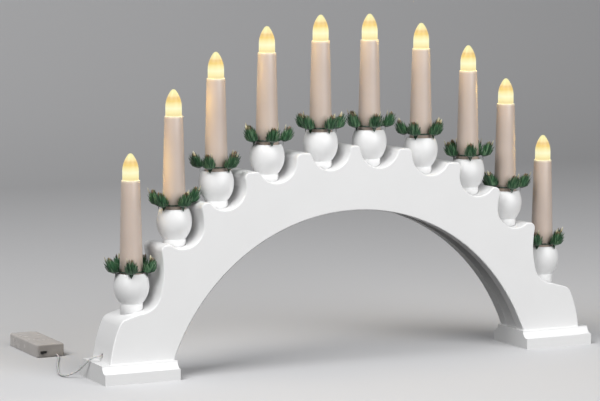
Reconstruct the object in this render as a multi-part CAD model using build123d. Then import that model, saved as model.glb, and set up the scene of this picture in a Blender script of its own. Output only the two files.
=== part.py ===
# Candle arch: ten battery candles on a stepped wooden arch, with a clear battery box on a lead.
# Millimetres. X runs along the arch, -Y is the front, +Z is up.
# The origin lies on the table, midway between the two feet.
import os
from math import asin, atan2, cos, degrees, hypot, pi, radians, sin, sqrt, tan

from build123d import *

# Candle places and the heights of their seats, from the middle pair to the outer pair
CANDLE_X = [26.5, 83.4, 136.5, 179.9, 223.7]
SEAT_Z = [188.5, 178.6, 155.5, 121.6, 63.3]

# Candle stack, from the arch up
NECK_HEIGHT = 7.0
NECK_RADIUS = 10.7
BALL_RADIUS = 16.8
BALL_BELOW = 16.8
BALL_ABOVE = 11.8
BALL_FOOT_RADIUS = 10.2
RIM_LAND = 2.2
SOCKET_DEPTH = 7.0
TENON_RADIUS = 6.0
TENON_LENGTH = 12.0
WIRE_BORE_RADIUS = 3.0
TUBE_BASE_RADIUS = 11.1
TUBE_TOP_RADIUS = 8.85
TUBE_LENGTH = 94.1
TUBE_WALL = 1.3
TUBE_LIP = 2.0
BULB_RADIUS = 7.7
BULB_LENGTH = 25.0
BULB_STRAIGHT = 8.0
BULB_TIP_RADIUS = 2.8
BULB_WALL = 1.0
SPIGOT_RADIUS = 6.4
SPIGOT_LENGTH = 1.8
PLUG_HEIGHT = 3.0
LED_RADIUS = 2.5
LED_FLANGE_RADIUS = 2.9
LED_FLANGE_HEIGHT = 1.0
LED_HEIGHT = 8.0
SLIP_FIT = 0.2
BORE_FIT = 0.3

# Arch board
BOARD_DEPTH = 45.0
BOARD_EDGE = 1.2
INNER_RADIUS = 203.0
CROWN_Z = 148.5
LEG_END_X = 254.4
FLANK_RADIUS = 110.0
FLANK_FOOT_LEAN = 5.0
SHOULDER_FALL = 16.0
SHOULDER_ROUND = 11.0
SCALLOP_RADIUS = 21.0
MID_NOSE_RISE = 22.5
NOSE_RISE = [17.5, 11.6, 8.1, 4.4]
NOSE_GAP = [21.0, 19.9, 18.7, 21.6]
NOSE_INNER_ROUND = 4.0
NOSE_OUTER_ROUND = 5.5
NOSE_CLEAR = 0.05
WALL_HOLLOW_RADIUS = 90.0
GROOVE_WIDTH = 18.0
GROOVE_DEPTH = 14.0
SPOT_FACE_HEIGHT = 6.0
LEAD_BORE_Z = 22.7
LEAD_BORE_RADIUS = 2.6

# Feet and their screws
FOOT_X = 225.65
FOOT_LENGTH = 75.5
FOOT_DEPTH = 65.3
FOOT_FACE_HEIGHT = 10.4
FOOT_HEIGHT = 17.3
FOOT_EDGE = 0.6
COVE_STEP = 1.2
SCREW_RADIUS = 2.0
SCREW_FIT = 0.05
SCREW_REACH = 22.0
SCREW_TIP_ROOM = 1.0
SCREW_Y = 13.5
HEAD_RADIUS = 3.8
HEAD_HEIGHT = 2.6
HEAD_SUNK = 2.0
SLOT_WIDTH = 1.2
SLOT_DEPTH = 0.8

# Candle rings: a wire hoop with five plastic sprigs
HOOP_WIRE = 0.8
HOOP_FIT = 0.4
HOOP_RISE = 3.0
SPRIG_COUNT = 5
LEAF_COUNT = 8
SPRIG_SET = 0.1
SPRIG_LEAN = 4.4
SPRIG_FOOT_RADIUS = 2.8
SPRIG_FOOT = -0.8
BELLY_RADIUS = 6.4
BELLY_HEIGHT = 5.0
NOTCH_RADIUS = 4.4
NOTCH_HEIGHT = 9.0
LEAF_RADIUS = 5.4
LEAF_HEIGHT = 12.5
BUD_RADIUS = 2.2
BUD_FOOT = 8.0
BUD_HEIGHT = 15.5
STEM_DROP = 5.5
SPRIG_CLEAR = 0.4
RING_TURN = [-112, -80, -136, -98, -84, -100, -138, -110, -94, -140]

# Wires in the arch
LOOM_RADIUS = 1.2
LOOM_GAP = 0.1
LOOM_END_X = 232.0

# Battery box
BOX_X = -254.75
BOX_Y = 134.7
BOX_WIDTH = 28.5
BOX_LENGTH = 80.8
BOX_HEIGHT = 13.0
BOX_CORNER = 2.6
BOX_TOP_EDGE = 1.8
BOX_FOOT_EDGE = 0.8
CASE_WALL = 1.5
CASE_FLOOR = 1.2
DECK_THICK = 1.0
DIVIDER = 1.2
LID_GAP = 0.2
TONGUE = 0.5
TONGUE_ROOT = 0.1
TONGUE_HEIGHT = 0.9
RAIL_DEPTH = 2.4
RAIL_WIDTH = 1.2
GRIP_RADIUS = 3.0
GRIP_HEIGHT = 0.4
GRIP_BACK = 12.0
CELL_RADIUS = 5.25
CELL_BODY = 43.7
CELL_NUB = 0.9
CELL_NUB_RADIUS = 1.9
CELL_PITCH = 11.0
CONTACT_REACH = 3.25
CONTACT_THICK = 0.4
CONTACT_HEIGHT = 8.0
CONTACT_GAP = 2.0
BOARD_THICK = 1.2
BOARD_LENGTH = 14.0
SWITCH_WIDTH = 10.0
SWITCH_HEIGHT = 5.4
SWITCH_THICK = 4.4
SWITCH_SIDE = -7.25
KNOB_WIDTH = 2.6
KNOB_HEIGHT = 2.6
KNOB_PROUD = 1.2
KNOB_TRAVEL = 4.0
KNOB_FIT = 0.15
CUT_OVER = 1.0

# Lead from the battery box to the arch, laid by hand
LEAD_RADIUS = 1.0
LEAD_EXIT_X = -248.5
LEAD_EXIT_Z = 1.9
LEAD_HOLE_RADIUS = 1.2
LEAD_ROUTE = [
    (-248.5, 133.0, 1.9),
    (-250.5, 124.0, 1.2),
    (-258.2, 106.0, 1.05),
    (-266.2, 86.0, 1.1),
    (-274.4, 62.0, 1.05),
    (-282.6, 38.0, 1.1),
    (-281.0, 24.0, 1.6),
    (-271.5, 17.5, 6.5),
    (-267.4, 9.0, 14.5),
    (-263.0, 2.2, 21.6),
    (-253.0, 0.0, 22.7),
]
LEAD_BEND_SHARE = 0.45
LEAD_LIMP = 3.0

# Sizes that follow from those above
CANDLES = [-x for x in reversed(CANDLE_X)] + CANDLE_X
SEATS = list(reversed(SEAT_Z)) + SEAT_Z
STEPS = list(reversed(range(len(CANDLE_X)))) + list(range(len(CANDLE_X)))
NOSE_Z = [seat + rise for seat, rise in zip(SEAT_Z, NOSE_RISE)]
MID_NOSE_Z = SEAT_Z[0] + MID_NOSE_RISE
BALL_Z = NECK_HEIGHT + BALL_BELOW
CUP_HEIGHT = BALL_Z + BALL_ABOVE
SOCKET_Z = CUP_HEIGHT - SOCKET_DEPTH
TUBE_TOP = SOCKET_Z + TUBE_LENGTH
TUBE_TAPER = (TUBE_BASE_RADIUS - TUBE_TOP_RADIUS) / (TUBE_TOP - CUP_HEIGHT)
SOCKET_RADIUS = TUBE_BASE_RADIUS + TUBE_TAPER * SOCKET_DEPTH + SLIP_FIT
RIM_RADIUS = SOCKET_RADIUS + RIM_LAND
HOOP_Z = CUP_HEIGHT + HOOP_RISE + HOOP_WIRE
HOOP_RADIUS = TUBE_BASE_RADIUS + HOOP_FIT + HOOP_WIRE
SPRIG_EDGE = HOOP_RADIUS + SPRIG_SET
SPRIG_INNER = SPRIG_EDGE + SPRIG_FOOT_RADIUS
SPRIG_OUTER = SPRIG_INNER + SPRIG_LEAN
INNER_CENTRE_Z = CROWN_Z - INNER_RADIUS
INSIDE_WIDTH = BOX_WIDTH - 2 * CASE_WALL
CASE_TOP = BOX_HEIGHT - DECK_THICK
BOX_END = BOX_Y + BOX_LENGTH
BAY_END = BOX_END - CASE_WALL
BAY_Y = BAY_END - CELL_BODY - CELL_NUB - 2 * CONTACT_REACH
SEAM_Y = BAY_Y - DIVIDER
FITTING_Y = BOX_Y + CASE_WALL + SLIP_FIT
SWITCH_X = BOX_X + SWITCH_SIDE
SWITCH_Z = CASE_FLOOR + BOARD_THICK + SWITCH_HEIGHT / 2


def on_circle(centre, radius, angle):
    """Point on a circle in the drawing plane, with the angle in degrees."""
    return (centre[0] + radius * cos(radians(angle)), centre[1] + radius * sin(radians(angle)))


def arc(centre, radius, first, last):
    """Arc in the drawing plane from one angle to another, in degrees."""
    points = [on_circle(centre, radius, a) for a in (first, (first + last) / 2, last)]
    return ThreePointArc(*points)


def angle_of(centre, point):
    """Direction in degrees from a centre to a point."""
    return degrees(atan2(point[1] - centre[1], point[0] - centre[0]))


def scallop_centre(step):
    """Centre of the scallop round the ball of a candle on the right half."""
    return (CANDLE_X[step], SEAT_Z[step] + SCALLOP_RADIUS)


def nose_inner(step, top):
    """Centre of the round between a scallop and the nose beyond it."""
    centre = scallop_centre(step)
    rise = top - NOSE_INNER_ROUND - centre[1]
    run = sqrt((SCALLOP_RADIUS + NOSE_INNER_ROUND) ** 2 - rise ** 2)
    return (centre[0] + run, top - NOSE_INNER_ROUND)


def nose_outer(step):
    """Centre of the round at the outer end of a nose, clear of the next scallop."""
    centre = scallop_centre(step + 1)
    height = NOSE_Z[step] - NOSE_OUTER_ROUND
    reach = SCALLOP_RADIUS + NOSE_OUTER_ROUND + NOSE_CLEAR
    least = sqrt(max(reach ** 2 - (height - centre[1]) ** 2, 0))
    run = max(NOSE_GAP[step] + NOSE_OUTER_ROUND, least)
    return (centre[0] - run, height)


def wall_centre(step):
    """Centre of the hollow wall below a nose, tangent to the nose's round and to the next scallop."""
    nose, scallop = nose_outer(step), scallop_centre(step + 1)
    to_nose = WALL_HOLLOW_RADIUS + NOSE_OUTER_ROUND
    to_scallop = WALL_HOLLOW_RADIUS - SCALLOP_RADIUS
    run, drop = scallop[0] - nose[0], scallop[1] - nose[1]
    apart = hypot(run, drop)
    along = (to_nose ** 2 - to_scallop ** 2 + apart ** 2) / (2 * apart)
    aside = sqrt(to_nose ** 2 - along ** 2)
    return (nose[0] + (along * run - aside * drop) / apart, nose[1] + (along * drop + aside * run) / apart)


def top_edges():
    """Upper outline of the right half: noses, step walls and scallops, from the middle out."""
    scallop = scallop_centre(0)
    inner = nose_inner(0, MID_NOSE_Z)
    middle = (2 * scallop[0] - inner[0], inner[1])
    edges = [Line((0, MID_NOSE_Z), (middle[0], MID_NOSE_Z))]
    edges.append(arc(middle, NOSE_INNER_ROUND, 90, angle_of(middle, scallop)))
    start = angle_of(scallop, middle) % 360
    for step, top in enumerate(NOSE_Z):
        inner, outer, wall = nose_inner(step, top), nose_outer(step), wall_centre(step)
        edges.append(arc(scallop, SCALLOP_RADIUS, start, 360 + angle_of(scallop, inner)))
        edges.append(arc(inner, NOSE_INNER_ROUND, angle_of(inner, scallop) % 360, 90))
        edges.append(Line((inner[0], top), (outer[0], top)))
        edges.append(arc(outer, NOSE_OUTER_ROUND, 90, angle_of(outer, wall)))
        scallop = scallop_centre(step + 1)
        start = angle_of(wall, scallop) % 360
        edges.append(arc(wall, WALL_HOLLOW_RADIUS, angle_of(wall, outer) % 360, start))
    edges.append(arc(scallop, SCALLOP_RADIUS, start, 270))
    return edges


def shoulder_edges():
    """Sloping shoulder beyond the outer candle and the swelling flank down to the foot."""
    start = (CANDLE_X[-1], SEAT_Z[-1])
    flank = on_circle((LEG_END_X, FOOT_HEIGHT), -FLANK_RADIUS, FLANK_FOOT_LEAN)
    normal = (sin(radians(SHOULDER_FALL)), cos(radians(SHOULDER_FALL)))
    along = (normal[1], -normal[0])
    base = (start[0] - SHOULDER_ROUND * normal[0], start[1] - SHOULDER_ROUND * normal[1])
    offset = (base[0] - flank[0], base[1] - flank[1])
    half = offset[0] * along[0] + offset[1] * along[1]
    reach = FLANK_RADIUS - SHOULDER_ROUND
    run = sqrt(half ** 2 - hypot(*offset) ** 2 + reach ** 2) - half
    centre = (base[0] + run * along[0], base[1] + run * along[1])
    turn = angle_of(flank, centre)
    return [
        Line(start, on_circle(centre, SHOULDER_ROUND, 90 - SHOULDER_FALL)),
        arc(centre, SHOULDER_ROUND, 90 - SHOULDER_FALL, turn),
        arc(flank, FLANK_RADIUS, turn, FLANK_FOOT_LEAN),
    ]


def board_half():
    """Right half of the arch outline as a face in the X-Z plane."""
    spring = degrees(asin((FOOT_HEIGHT - INNER_CENTRE_Z) / INNER_RADIUS))
    inside = on_circle((0, INNER_CENTRE_Z), INNER_RADIUS, spring)
    edges = top_edges() + shoulder_edges()
    edges.append(Line((LEG_END_X, FOOT_HEIGHT), inside))
    edges.append(arc((0, INNER_CENTRE_Z), INNER_RADIUS, spring, 90))
    edges.append(Line((0, CROWN_Z), (0, MID_NOSE_Z)))
    return make_face(edges)


def along_y(radius, length):
    """Cylinder along Y, centred on the origin."""
    return Rot(90, 0, 0) * Cylinder(radius, length)


def along_x(radius, start, end):
    """Cylinder along X between two places on the axis."""
    return Pos((start + end) / 2, 0, 0) * Rot(0, 90, 0) * Cylinder(radius, abs(end - start))


def upright(radius, bottom, top):
    """Cylinder along Z between two heights."""
    return Pos(0, 0, bottom) * Cylinder(radius, top - bottom, align=(Align.CENTER, Align.CENTER, Align.MIN))


def above_span(x, radius):
    """Height of a circle about the centre of the span, or of the lead's bore beyond that circle."""
    return INNER_CENTRE_Z + sqrt(radius ** 2 - x ** 2) if abs(x) < radius else LEAD_BORE_Z


def screw_places():
    """Places of the four foot screws."""
    return [(side * FOOT_X, y) for side in (-1, 1) for y in (-SCREW_Y, SCREW_Y)]


def arch_board():
    """Stepped board with a routed wire groove along its underside and a bored seat for each cup."""
    outline = board_half()
    outline = outline + mirror(outline, about=Plane.YZ)
    board = extrude(Plane.XZ * outline, amount=BOARD_DEPTH / 2, both=True)
    rims = [e for e in board.edges() if abs(e.center().Y) > BOARD_DEPTH / 4]
    board = fillet([e for e in rims if e.center().Z > FOOT_HEIGHT + BOARD_EDGE], BOARD_EDGE)
    board -= Pos(0, 0, INNER_CENTRE_Z) * along_y(INNER_RADIUS + GROOVE_DEPTH, GROOVE_WIDTH)
    for x, seat in zip(CANDLES, SEATS):
        board -= Pos(x, 0, 0) * upright(NECK_RADIUS + BORE_FIT, seat, seat + SPOT_FACE_HEIGHT)
        board -= Pos(x, 0, 0) * upright(TENON_RADIUS + SLIP_FIT, seat - TENON_LENGTH - SLIP_FIT, seat)
        board -= Pos(x, 0, 0) * upright(WIRE_BORE_RADIUS, above_span(x, INNER_RADIUS), seat)
    groove_side = sqrt(INNER_RADIUS ** 2 - (LEAD_BORE_Z - INNER_CENTRE_Z) ** 2)
    board -= Pos(0, 0, LEAD_BORE_Z) * along_x(LEAD_BORE_RADIUS, -LEG_END_X - CUT_OVER, -groove_side)
    board -= Pos(0, 0, LEAD_BORE_Z) * along_x(LEAD_BORE_RADIUS, groove_side, CANDLES[-1] + WIRE_BORE_RADIUS)
    pilot_top = FOOT_HEIGHT + SCREW_REACH + SCREW_TIP_ROOM
    for x, y in screw_places():
        board -= Pos(x, y, 0) * upright(SCREW_RADIUS + SCREW_FIT, FOOT_HEIGHT, pilot_top)
    return board


def foot(side):
    """Moulded foot: upright face, small step and cove, front and back, with its edges eased."""
    half = FOOT_DEPTH / 2
    cove = FOOT_HEIGHT - FOOT_FACE_HEIGHT
    step = (half - COVE_STEP, FOOT_FACE_HEIGHT)
    edges = [
        Polyline((0, 0), (half, 0), (half, FOOT_FACE_HEIGHT), step),
        arc((step[0], FOOT_HEIGHT), cove, 270, 180),
        Polyline((step[0] - cove, FOOT_HEIGHT), (0, FOOT_HEIGHT), (0, 0)),
    ]
    section = make_face(edges)
    section = section + mirror(section, about=Plane.YZ)
    moulding = extrude(Plane.YZ * section, amount=FOOT_LENGTH / 2, both=True)
    uprights = [e for e in moulding.edges().filter_by(Axis.Z) if e.center().Z < FOOT_FACE_HEIGHT]
    moulding = Pos(side * FOOT_X, 0, 0) * fillet(uprights, FOOT_EDGE)
    for x, y in screw_places():
        if x * side > 0:
            moulding -= Pos(x, y, 0) * upright(HEAD_RADIUS + BORE_FIT, 0, HEAD_SUNK + HEAD_HEIGHT)
            moulding -= Pos(x, y, 0) * upright(SCREW_RADIUS + SCREW_FIT, 0, FOOT_HEIGHT)
    return moulding


def foot_screws():
    """Two screws up through each foot into the leg."""
    head = upright(HEAD_RADIUS, HEAD_SUNK, HEAD_SUNK + HEAD_HEIGHT)
    slot = Pos(0, 0, HEAD_SUNK) * Box(SLOT_WIDTH, 2 * HEAD_RADIUS, 2 * SLOT_DEPTH)
    shank = upright(SCREW_RADIUS, HEAD_SUNK, FOOT_HEIGHT + SCREW_REACH)
    screw = head + shank - slot
    return Compound([Pos(x, y, 0) * screw for x, y in screw_places()])


def swell(radius, end_radius, height):
    """Radius of the arc that leaves a radius upright and comes in to another over a height."""
    inset = radius - end_radius
    return (inset ** 2 + height ** 2) / (2 * inset)


def candle_cup():
    """Turned cup: tenon, neck and ball, bored for the wire and counterbored for the candle."""
    lower = swell(BALL_RADIUS, BALL_FOOT_RADIUS, BALL_BELOW)
    upper = swell(BALL_RADIUS, RIM_RADIUS, BALL_ABOVE)
    edges = [
        Polyline((WIRE_BORE_RADIUS, -TENON_LENGTH), (TENON_RADIUS, -TENON_LENGTH), (TENON_RADIUS, 0),
                 (NECK_RADIUS, 0), (NECK_RADIUS, NECK_HEIGHT), (BALL_FOOT_RADIUS, NECK_HEIGHT)),
        arc((BALL_RADIUS - lower, BALL_Z), lower, -degrees(asin(BALL_BELOW / lower)), 0),
        arc((BALL_RADIUS - upper, BALL_Z), upper, 0, degrees(asin(BALL_ABOVE / upper))),
        Polyline((RIM_RADIUS, CUP_HEIGHT), (SOCKET_RADIUS, CUP_HEIGHT), (SOCKET_RADIUS, SOCKET_Z),
                 (WIRE_BORE_RADIUS, SOCKET_Z), (WIRE_BORE_RADIUS, -TENON_LENGTH)),
    ]
    return revolve(Plane.XZ * make_face(edges), axis=Axis.Z)


def tube_radius(height):
    """Outer radius of the candle tube at a height above the cup's seat."""
    return TUBE_TOP_RADIUS + TUBE_TAPER * (TUBE_TOP - height)


def candle_tube():
    """Tapered thin tube with an inward lip at the top for the bulb."""
    lip = TUBE_TOP - TUBE_LIP
    hole = SPIGOT_RADIUS + SLIP_FIT
    points = [
        (tube_radius(SOCKET_Z) - TUBE_WALL, SOCKET_Z),
        (tube_radius(SOCKET_Z), SOCKET_Z),
        (TUBE_TOP_RADIUS, TUBE_TOP),
        (hole, TUBE_TOP),
        (hole, lip),
        (tube_radius(lip) - TUBE_WALL, lip),
    ]
    return revolve(Plane.XZ * make_face(Polyline(*points, close=True)), axis=Axis.Z)


def flame_arcs(radius, tip, straight, height):
    """Side arc and tip arc of a flame outline: upright at the skirt, drawn in to a round tip."""
    reach = height - tip - straight
    bend = (radius ** 2 - tip ** 2 + reach ** 2) / (2 * (radius - tip))
    turn = degrees(atan2(reach, bend - radius))
    side = arc((radius - bend, straight), bend, 0, turn)
    return [side, arc((0, height - tip), tip, turn, 90)]


def flame_bulb():
    """Clear flame cap, hollow inside, with a spigot that drops into the tube's lip."""
    bore = SPIGOT_RADIUS - BULB_WALL
    inside = BULB_RADIUS - BULB_WALL
    inside_top = BULB_LENGTH - 2 * BULB_WALL
    edges = [
        Polyline((bore, -SPIGOT_LENGTH), (SPIGOT_RADIUS, -SPIGOT_LENGTH), (SPIGOT_RADIUS, 0),
                 (BULB_RADIUS, 0), (BULB_RADIUS, BULB_STRAIGHT)),
        *flame_arcs(BULB_RADIUS, BULB_TIP_RADIUS, BULB_STRAIGHT, BULB_LENGTH),
        Line((0, BULB_LENGTH), (0, inside_top)),
        *flame_arcs(inside, BULB_TIP_RADIUS, BULB_STRAIGHT, inside_top),
        Polyline((inside, BULB_STRAIGHT), (inside, BULB_WALL), (bore, BULB_WALL), (bore, -SPIGOT_LENGTH)),
    ]
    return Pos(0, 0, TUBE_TOP) * revolve(Plane.XZ * make_face(edges), axis=Axis.Z)


def lamp_plug():
    """Disc under the tube's lip that carries the diode."""
    top = TUBE_TOP - TUBE_LIP
    return upright(tube_radius(top) - TUBE_WALL - SLIP_FIT, top - PLUG_HEIGHT, top)


def led():
    """Round diode standing on its plug, with its dome inside the bulb."""
    base = TUBE_TOP - TUBE_LIP
    shoulder = base + LED_HEIGHT - LED_RADIUS
    body = upright(LED_FLANGE_RADIUS, base, base + LED_FLANGE_HEIGHT) + upright(LED_RADIUS, base, shoulder)
    return body + Pos(0, 0, shoulder) * Sphere(LED_RADIUS)


def at_candles(solid):
    """A copy of a solid at each candle, as one group."""
    return Compound([Pos(x, 0, seat) * solid for x, seat in zip(CANDLES, SEATS)])


def stem_reach():
    """How far out a stem leaf hangs, so that it rests on the cup's rim and on the ball below it."""
    upper = swell(BALL_RADIUS, RIM_RADIUS, BALL_ABOVE)
    above_ball = HOOP_Z - STEM_DROP - BALL_Z
    on_ball = BALL_RADIUS - upper + sqrt(upper ** 2 - above_ball ** 2)
    fall = (SPRIG_FOOT + STEM_DROP) / (SPRIG_FOOT + HOOP_RISE + HOOP_WIRE)
    over_rim = SPRIG_EDGE + (RIM_RADIUS - SPRIG_EDGE) * fall
    return max(on_ball, over_rim) + SLIP_FIT


def lean_limit(number, turn, spread):
    """Furthest that a sprig may lean out before it would meet a step's wall beside its candle."""
    step = STEPS[number]
    inward = -cos(radians(turn)) if CANDLES[number] > 0 else cos(radians(turn))
    beside_wall = step > 0 and NOSE_Z[step - 1] > SEATS[number] + HOOP_Z + LEAF_HEIGHT / 2
    if beside_wall and inward > 0:
        return (NOSE_GAP[step - 1] - SPRIG_CLEAR - spread) / inward
    return SPRIG_OUTER


def sprig(number, turn):
    """Sprig as a faceted rosette: round foot, swelling pointed leaves, a bud and a hanging stem leaf."""
    out = (cos(radians(turn)), sin(radians(turn)))
    slope = (SPRIG_OUTER - SPRIG_INNER) / (LEAF_HEIGHT - SPRIG_FOOT)

    def place(radius, height, spread=0, angle=0):
        along = radius + spread * cos(angle)
        across = spread * sin(angle)
        return (out[0] * along - out[1] * across, out[1] * along + out[0] * across, height)

    def ring(spread, height, shift):
        lean = min(SPRIG_INNER + slope * (height - SPRIG_FOOT), lean_limit(number, turn, spread))
        step = 2 * pi / LEAF_COUNT
        return [place(lean, height, spread, step * (k + shift)) for k in range(LEAF_COUNT)]

    foot_ring = ring(SPRIG_FOOT_RADIUS, SPRIG_FOOT, 0)
    belly = ring(BELLY_RADIUS, BELLY_HEIGHT, 0.5)
    notches = ring(NOTCH_RADIUS, NOTCH_HEIGHT, 0)
    leaves = ring(LEAF_RADIUS, LEAF_HEIGHT, 0.5)
    bud = ring(BUD_RADIUS, BUD_FOOT, 0)
    stem = place(stem_reach(), -STEM_DROP)
    tip = place(min(SPRIG_OUTER, lean_limit(number, turn, BUD_RADIUS)), BUD_HEIGHT)
    faces = []
    for k in range(LEAF_COUNT):
        n = (k + 1) % LEAF_COUNT
        faces.append((stem, foot_ring[n], foot_ring[k]))
        faces.append((foot_ring[k], foot_ring[n], belly[k]))
        faces.append((foot_ring[n], belly[n], belly[k]))
        faces.append((notches[k], belly[k], leaves[k]))
        faces.append((belly[k], notches[n], leaves[k]))
        faces.append((belly[k], belly[n], notches[n]))
        faces.append((notches[k], leaves[k], bud[k]))
        faces.append((leaves[k], notches[n], bud[n]))
        faces.append((leaves[k], bud[n], bud[k]))
        faces.append((bud[k], bud[n], tip))
    shell = Shell([Face(Wire.make_polygon([Vector(*p) for p in face])) for face in faces])
    return Solid(shell)


def candle_ring(number):
    """Wire hoop round the candle's foot with its sprigs, held up by their stem leaves on the cup."""
    ring = Torus(HOOP_RADIUS, HOOP_WIRE)
    for k in range(SPRIG_COUNT):
        ring = ring + sprig(number, RING_TURN[number] + k * 360 / SPRIG_COUNT)
    return Pos(CANDLES[number], 0, SEATS[number] + HOOP_Z) * ring


def wire_loom():
    """Wires in the groove: one run round the arch with a branch up to each lamp."""
    run = INNER_RADIUS + GROOVE_DEPTH - LOOM_RADIUS - LOOM_GAP
    spring = degrees(asin((LEAD_BORE_Z - INNER_CENTRE_Z) / run))
    path = Plane.XZ * arc((0, INNER_CENTRE_Z), run, 180 - spring, spring)
    loom = sweep(Plane(path @ 0, z_dir=path % 0) * Circle(LOOM_RADIUS), path=path)
    end = run * cos(radians(spring))
    loom += Pos(0, 0, LEAD_BORE_Z) * along_x(LOOM_RADIUS, -LOOM_END_X, -end + LOOM_RADIUS)
    loom += Pos(0, 0, LEAD_BORE_Z) * along_x(LOOM_RADIUS, end - LOOM_RADIUS, CANDLES[-1] + LOOM_RADIUS)
    lamp = TUBE_TOP - TUBE_LIP - PLUG_HEIGHT
    for x, seat in zip(CANDLES, SEATS):
        loom += Pos(x, 0, 0) * upright(LOOM_RADIUS, above_span(x, run), seat + lamp)
    return loom


def block(x, width, first, last, bottom, top):
    """Plain block centred on an X place, between two Y places and two heights."""
    middle = (x, (first + last) / 2, (bottom + top) / 2)
    return Pos(*middle) * Box(width, last - first, top - bottom)


def box_body():
    """Outer form of the closed battery box, rounded at its corners and edges."""
    outline = Pos(BOX_X, BOX_Y + BOX_LENGTH / 2) * RectangleRounded(BOX_WIDTH, BOX_LENGTH, BOX_CORNER)
    body = extrude(outline, amount=BOX_HEIGHT)
    body = fillet(body.faces().sort_by(Axis.Z)[-1].edges(), BOX_TOP_EDGE)
    return fillet(body.faces().sort_by(Axis.Z)[0].edges(), BOX_FOOT_EDGE)


def box_slice(first, last, bottom, top):
    """Part of the box's outer form between two Y places and two heights."""
    return box_body() & block(BOX_X, BOX_WIDTH + CUT_OVER, first, last, bottom, top)


def battery_case():
    """Clear tray with a divider, tongue grooves, a switch slot and a hole for the lead."""
    tray = box_slice(BOX_Y, BOX_END, 0, CASE_TOP)
    tray -= block(BOX_X, INSIDE_WIDTH, BOX_Y + CASE_WALL, SEAM_Y, CASE_FLOOR, CASE_TOP)
    tray -= block(BOX_X, INSIDE_WIDTH, BAY_Y, BAY_END, CASE_FLOOR, CASE_TOP)
    groove_top = CASE_TOP - RAIL_DEPTH + TONGUE_HEIGHT + LID_GAP
    groove_foot = CASE_TOP - RAIL_DEPTH - LID_GAP
    tray -= block(BOX_X, INSIDE_WIDTH + 2 * TONGUE, BAY_Y, BOX_END, groove_foot, groove_top)
    tray -= block(BOX_X, INSIDE_WIDTH, BAY_Y, BOX_END, groove_foot, CASE_TOP)
    slot = KNOB_WIDTH + KNOB_TRAVEL + 2 * KNOB_FIT
    half = KNOB_HEIGHT / 2 + KNOB_FIT
    tray -= block(SWITCH_X, slot, BOX_Y - CUT_OVER, BOX_Y + CASE_WALL, SWITCH_Z - half, SWITCH_Z + half)
    tray -= Pos(LEAD_EXIT_X, BOX_Y, LEAD_EXIT_Z) * along_y(LEAD_HOLE_RADIUS, 2 * (CASE_WALL + CUT_OVER))
    return tray


def switch_deck():
    """Fixed clear deck over the switch end, with a lip that locates it between the walls."""
    plate = box_slice(BOX_Y, SEAM_Y, CASE_TOP, BOX_HEIGHT)
    low = CASE_TOP - CASE_WALL
    lip = block(BOX_X, INSIDE_WIDTH - 2 * SLIP_FIT, FITTING_Y, SEAM_Y - SLIP_FIT, low, CASE_TOP)
    room = INSIDE_WIDTH - 2 * CASE_WALL
    lip -= block(BOX_X, room, FITTING_Y + CASE_WALL, SEAM_Y - CASE_WALL, low, CASE_TOP)
    return plate + lip


def battery_cover():
    """Sliding cover with two tongued rails and a round finger grip."""
    cover = box_slice(SEAM_Y + LID_GAP, BOX_END, CASE_TOP, BOX_HEIGHT)
    low = CASE_TOP - RAIL_DEPTH
    outside = INSIDE_WIDTH / 2 - LID_GAP
    for side in (-1, 1):
        rail_x = BOX_X + side * (outside - RAIL_WIDTH / 2)
        cover += block(rail_x, RAIL_WIDTH, BAY_Y + LID_GAP, BAY_END, low, CASE_TOP)
        tongue_x = BOX_X + side * (outside + TONGUE / 2 - TONGUE_ROOT)
        cover += block(tongue_x, TONGUE, BAY_Y + LID_GAP, BAY_END, low, low + TONGUE_HEIGHT)
    grip = upright(GRIP_RADIUS, BOX_HEIGHT, BOX_HEIGHT + GRIP_HEIGHT)
    return cover + Pos(BOX_X, SEAM_Y + GRIP_BACK, 0) * grip


def timer_board():
    """Circuit board on the floor of the switch end."""
    width = INSIDE_WIDTH - 2 * SLIP_FIT
    return block(BOX_X, width, FITTING_Y, FITTING_Y + BOARD_LENGTH, CASE_FLOOR, CASE_FLOOR + BOARD_THICK)


def switch_body():
    """Slide switch standing on the board behind the slot."""
    low, high = SWITCH_Z - SWITCH_HEIGHT / 2, SWITCH_Z + SWITCH_HEIGHT / 2
    return block(SWITCH_X, SWITCH_WIDTH, FITTING_Y, FITTING_Y + SWITCH_THICK, low, high)


def switch_knob():
    """Knob through the slot, at the left end of its travel."""
    place = SWITCH_X - KNOB_TRAVEL / 2
    low, high = SWITCH_Z - KNOB_HEIGHT / 2, SWITCH_Z + KNOB_HEIGHT / 2
    return block(place, KNOB_WIDTH, BOX_Y - KNOB_PROUD, FITTING_Y, low, high)


def cell_places():
    """X places of the two cells, with the way their plus ends point."""
    return [(BOX_X - CELL_PITCH / 2, 1), (BOX_X + CELL_PITCH / 2, -1)]


def battery_cells():
    """Two cells side by side, head to tail."""
    middle = (BAY_Y + BAY_END) / 2
    solids = []
    for x, way in cell_places():
        body = Pos(0, -way * CELL_NUB / 2, 0) * along_y(CELL_RADIUS, CELL_BODY)
        nub = Pos(0, way * CELL_BODY / 2, 0) * along_y(CELL_NUB_RADIUS, CELL_NUB)
        solids.append(Pos(x, middle, CASE_FLOOR + CELL_RADIUS) * (body + nub))
    return Compound(solids)


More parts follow.
